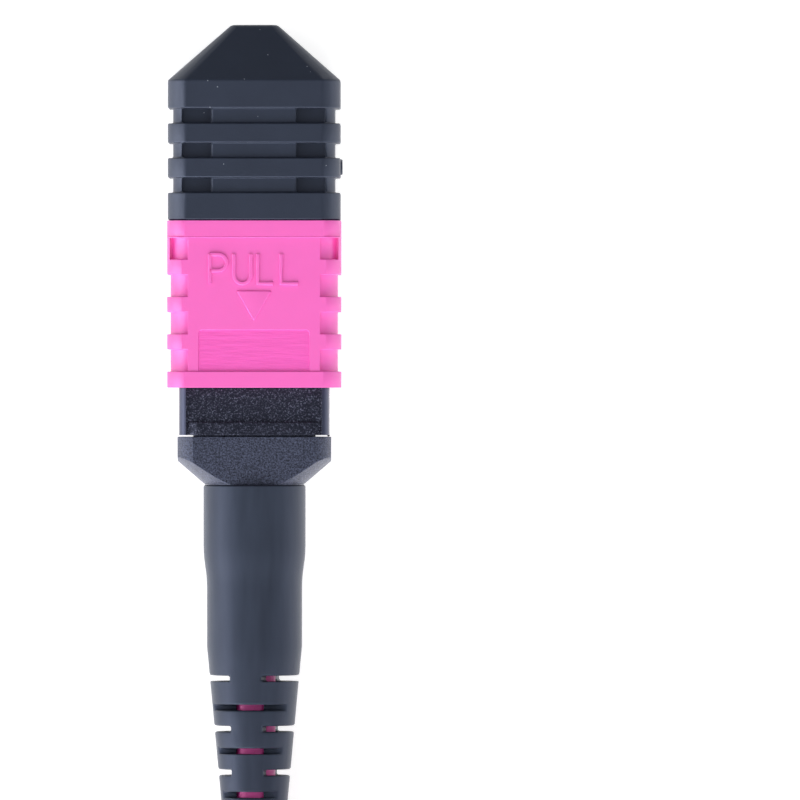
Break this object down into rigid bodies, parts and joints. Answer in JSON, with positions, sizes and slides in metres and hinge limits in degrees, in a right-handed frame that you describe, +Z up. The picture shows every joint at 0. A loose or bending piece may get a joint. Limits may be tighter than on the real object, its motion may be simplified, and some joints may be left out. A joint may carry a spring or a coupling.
{
  "type": "multi-fibre push-pull optical connector",
  "caption": "Flat push-pull fibre connector on a round cable, with a sprung outer housing, floating ferrule with guide pins, slotted boot and a ribbed dust cap.",
  "frame": {"origin": "on the surface that the connector lies on, under the middle of its box without the free cable", "axes": "+Y along the connector towards the dust cap's tip, +Z up out of the wide face, +X to the right seen from above"},
  "size_m": [0.0363, 0.1007, 0.0163],
  "materials": {
    "cap_plastic": "soft moulded, satin",
    "coupling_plastic": "moulded, satin",
    "inner_plastic": "glass-filled, glossy with grain",
    "collar_plastic": "fine spark texture",
    "boot_rubber": "moulded, matte",
    "ferrule_polymer": "glass-filled, polished face",
    "sleeve_rubber": "moulded, matte",
    "pin_steel": "ground",
    "spring_steel": "drawn wire",
    "crimp_metal": "drawn and tumbled",
    "fibre": "coated glass",
    "aramid": "loose yarn",
    "cable_plastic": "extruded, satin",
    "tie_fabric": "woven hook-and-loop strap"
  },
  "bodies": {
    "body": {"inner_housing": "inner_plastic", "rear_body": "collar_plastic", "crimp_ring": "crimp_metal", "aramid_yarn": "aramid", "cable_jacket": "cable_plastic", "fibre_bundle": "fibre", "bend_relief_boot": "boot_rubber", "coupling_spring_right": "spring_steel", "coupling_spring_left": "spring_steel", "ferrule_spring": "spring_steel", "cable_lead": "cable_plastic", "cable_coil": "cable_plastic", "coil_ties": "tie_fabric"},
    "coupling": {"coupling_housing": "coupling_plastic"},
    "ferrule_group": {"ferrule": "ferrule_polymer", "guide_pin_right": "pin_steel", "guide_pin_left": "pin_steel", "pin_clamp": "spring_steel", "ferrule_boot": "sleeve_rubber", "fibre_ribbon": "fibre"},
    "cap": {"dust_cap": "cap_plastic"}
  },
  "joints": [
    {"name": "coupling_slide", "type": "slide", "parent": "body", "child": "coupling", "axis": [0, 1, 0], "range_m": [-0.002, 0], "stiffness_N_per_m": 1500, "springref_m": 0.001, "deforming": ["coupling_spring_right", "coupling_spring_left"]},
    {"name": "ferrule_float", "type": "slide", "parent": "body", "child": "ferrule_group", "axis": [0, 1, 0], "range_m": [-0.0008, 0], "stiffness_N_per_m": 3000, "springref_m": 0.002, "deforming": ["ferrule_spring"]},
    {"name": "cap_pull", "type": "slide", "parent": "body", "child": "cap", "axis": [0, 1, 0], "range_m": [0, 0.02]}
  ]
}
